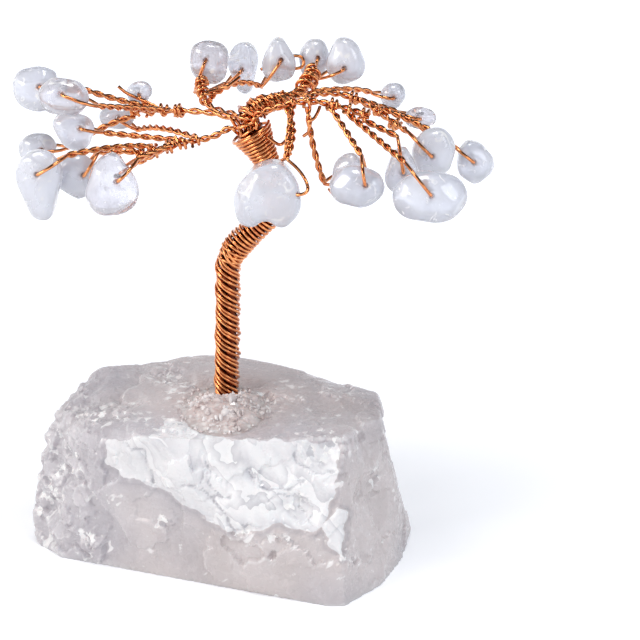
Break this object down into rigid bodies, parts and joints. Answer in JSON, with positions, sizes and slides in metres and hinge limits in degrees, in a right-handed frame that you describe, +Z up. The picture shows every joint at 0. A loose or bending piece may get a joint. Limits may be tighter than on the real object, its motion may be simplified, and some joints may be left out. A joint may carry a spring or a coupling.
{
  "type": "gemstone tree ornament",
  "caption": "Small wire tree with tumbled quartz chips for leaves, its wound copper trunk glued into a rough quartz stone that stands on a flat underside.",
  "frame": {"origin": "on the flat underside of the stone, below the foot of the trunk", "axes": "+Z up, -Y towards the viewer at the front, +X to the right seen from the front"},
  "size_m": [0.0829, 0.0559, 0.0876],
  "materials": {
    "copper_wire": "enamelled soft copper wire, bright",
    "tumbled_quartz": "tumble-polished, milky to clear",
    "rough_quartz": "split by hand, translucent, part matt and part glassy",
    "crushed_quartz": "crushed grains with glassy faces",
    "clear_glue": "cured clear glue with crushed stone in it"
  },
  "bodies": {
    "tree": {"base_stone": "rough_quartz", "trunk_core": "copper_wire", "trunk_winding": "copper_wire", "glue_bed": "clear_glue", "crystal_grit": "crushed_quartz", "crown_branch": "copper_wire", "left_upper_branch": "copper_wire", "left_lower_branch": "copper_wire", "upper_back_branch": "copper_wire", "right_middle_branch": "copper_wire", "right_upper_branch": "copper_wire", "left_far_twig": "copper_wire", "left_tip_twig": "copper_wire", "left_back_twig": "copper_wire", "left_middle_twig": "copper_wire", "left_hidden_twig": "copper_wire", "left_shoulder_twig": "copper_wire", "left_drop_twig": "copper_wire", "left_inner_twig": "copper_wire", "left_front_twig": "copper_wire", "back_left_twig": "copper_wire", "back_middle_twig": "copper_wire", "back_right_twig": "copper_wire", "crown_left_twig": "copper_wire", "crown_right_twig": "copper_wire", "right_back_twig": "copper_wire", "right_small_twig": "copper_wire", "right_upper_twig": "copper_wire", "right_tip_twig": "copper_wire", "right_front_twig": "copper_wire", "right_lower_twig": "copper_wire", "right_inner_twig": "copper_wire", "right_hidden_twig": "copper_wire", "heart_twig": "copper_wire"},
    "left_far_chip": {"left_far_chip": "tumbled_quartz"},
    "left_tip_chip": {"left_tip_chip": "tumbled_quartz"},
    "left_back_chip": {"left_back_chip": "tumbled_quartz"},
    "left_middle_chip": {"left_middle_chip": "tumbled_quartz"},
    "left_hidden_chip": {"left_hidden_chip": "tumbled_quartz"},
    "left_shoulder_chip": {"left_shoulder_chip": "tumbled_quartz"},
    "left_drop_chip": {"left_drop_chip": "tumbled_quartz"},
    "left_inner_chip": {"left_inner_chip": "tumbled_quartz"},
    "left_front_chip": {"left_front_chip": "tumbled_quartz"},
    "back_left_chip": {"back_left_chip": "tumbled_quartz"},
    "back_middle_chip": {"back_middle_chip": "tumbled_quartz"},
    "back_right_chip": {"back_right_chip": "tumbled_quartz"},
    "crown_left_chip": {"crown_left_chip": "tumbled_quartz"},
    "crown_right_chip": {"crown_right_chip": "tumbled_quartz"},
    "right_back_chip": {"right_back_chip": "tumbled_quartz"},
    "right_small_chip": {"right_small_chip": "tumbled_quartz"},
    "right_upper_chip": {"right_upper_chip": "tumbled_quartz"},
    "right_tip_chip": {"right_tip_chip": "tumbled_quartz"},
    "right_front_chip": {"right_front_chip": "tumbled_quartz"},
    "right_lower_chip": {"right_lower_chip": "tumbled_quartz"},
    "right_inner_chip": {"right_inner_chip": "tumbled_quartz"},
    "right_hidden_chip": {"right_hidden_chip": "tumbled_quartz"},
    "heart_chip": {"heart_chip": "tumbled_quartz"}
  },
  "joints": [
    {"name": "left_far_swing", "type": "hinge", "parent": "tree", "child": "left_far_chip", "pos_m": [-0.03076, 0.00588, 0.08205], "axis": [-0.1361, -0.9686, 0.2079], "range_deg": [-12, 12]},
    {"name": "left_tip_swing", "type": "hinge", "parent": "tree", "child": "left_tip_chip", "pos_m": [-0.02617, -0.00408, 0.0839], "axis": [-0.0858, -0.9811, 0.1736], "range_deg": [-12, 12]},
    {"name": "left_back_swing", "type": "hinge", "parent": "tree", "child": "left_back_chip", "pos_m": [-0.01509, 0.01592, 0.07768], "axis": [0.1736, -0.9848, 0], "range_deg": [-12, 12]},
    {"name": "left_middle_swing", "type": "hinge", "parent": "tree", "child": "left_middle_chip", "pos_m": [-0.0241, 0.00096, 0.07623], "axis": [0.0853, -0.9744, 0.2079], "range_deg": [-12, 12]},
    {"name": "left_hidden_swing", "type": "hinge", "parent": "tree", "child": "left_hidden_chip", "pos_m": [-0.01828, 0.01134, 0.07474], "axis": [0, -0.9903, 0.1392], "range_deg": [-12, 12]},
    {"name": "left_shoulder_swing", "type": "hinge", "parent": "tree", "child": "left_shoulder_chip", "pos_m": [-0.03132, 0.00675, 0.07059], "axis": [0, -0.9962, 0.0872], "range_deg": [-12, 12]},
    {"name": "left_drop_swing", "type": "hinge", "parent": "tree", "child": "left_drop_chip", "pos_m": [-0.02994, -0.0107, 0.07217], "axis": [-0.104, -0.9891, 0.1045], "range_deg": [-12, 12]},
    {"name": "left_inner_swing", "type": "hinge", "parent": "tree", "child": "left_inner_chip", "pos_m": [-0.02303, -0.00504, 0.0702], "axis": [0, -1, 0], "range_deg": [-12, 12]},
    {"name": "left_front_swing", "type": "hinge", "parent": "tree", "child": "left_front_chip", "pos_m": [-0.01705, -0.01244, 0.07151], "axis": [0.1035, -0.9848, 0.1392], "range_deg": [-12, 12]},
    {"name": "back_left_swing", "type": "hinge", "parent": "tree", "child": "back_left_chip", "pos_m": [-0.00301, 0.01814, 0.08333], "axis": [-0.0868, -0.9924, 0.0872], "range_deg": [-12, 12]},
    {"name": "back_middle_swing", "type": "hinge", "parent": "tree", "child": "back_middle_chip", "pos_m": [0.00291, 0.02394, 0.07995], "axis": [0, -0.9962, 0.0872], "range_deg": [-12, 12]},
    {"name": "back_right_swing", "type": "hinge", "parent": "tree", "child": "back_right_chip", "pos_m": [0.00985, 0.01892, 0.08314], "axis": [0.0691, -0.9879, 0.1392], "range_deg": [-12, 12]},
    {"name": "crown_left_swing", "type": "hinge", "parent": "tree", "child": "crown_left_chip", "pos_m": [0.01642, 0.02191, 0.08268], "axis": [0, -0.9962, 0.0872], "range_deg": [-12, 12]},
    {"name": "crown_right_swing", "type": "hinge", "parent": "tree", "child": "crown_right_chip", "pos_m": [0.02084, 0.01666, 0.08227], "axis": [0.0863, -0.9865, 0.1392], "range_deg": [-12, 12]},
    {"name": "right_back_swing", "type": "hinge", "parent": "tree", "child": "right_back_chip", "pos_m": [0.02968, 0.0168, 0.07684], "axis": [0.0868, -0.9924, 0.0872], "range_deg": [-12, 12]},
    {"name": "right_small_swing", "type": "hinge", "parent": "tree", "child": "right_small_chip", "pos_m": [0.0343, 0.01134, 0.07457], "axis": [0, -0.9848, 0.1736], "range_deg": [-12, 12]},
    {"name": "right_upper_swing", "type": "hinge", "parent": "tree", "child": "right_upper_chip", "pos_m": [0.03557, 0.0003, 0.07163], "axis": [0.1386, -0.9865, 0.0872], "range_deg": [-12, 12]},
    {"name": "right_tip_swing", "type": "hinge", "parent": "tree", "child": "right_tip_chip", "pos_m": [0.04295, 0.00492, 0.06907], "axis": [0.173, -0.9811, 0.0872], "range_deg": [-12, 12]},
    {"name": "right_front_swing", "type": "hinge", "parent": "tree", "child": "right_front_chip", "pos_m": [0.03513, -0.01252, 0.06889], "axis": [0.0687, -0.9824, 0.1736], "range_deg": [-12, 12]},
    {"name": "right_lower_swing", "type": "hinge", "parent": "tree", "child": "right_lower_chip", "pos_m": [0.02449, -0.01221, 0.07067], "axis": [-0.0691, -0.9879, 0.1392], "range_deg": [-12, 12]},
    {"name": "right_inner_swing", "type": "hinge", "parent": "tree", "child": "right_inner_chip", "pos_m": [0.03083, -0.00591, 0.07071], "axis": [0, -0.9976, 0.0698], "range_deg": [-12, 12]},
    {"name": "right_hidden_swing", "type": "hinge", "parent": "tree", "child": "right_hidden_chip", "pos_m": [0.02144, -0.0042, 0.06934], "axis": [0, -1, 0], "range_deg": [-12, 12]},
    {"name": "heart_swing", "type": "hinge", "parent": "tree", "child": "heart_chip", "pos_m": [0.01057, -0.01215, 0.06916], "axis": [0.7044, -0.7044, 0.0872], "range_deg": [-12, 12]}
  ]
}
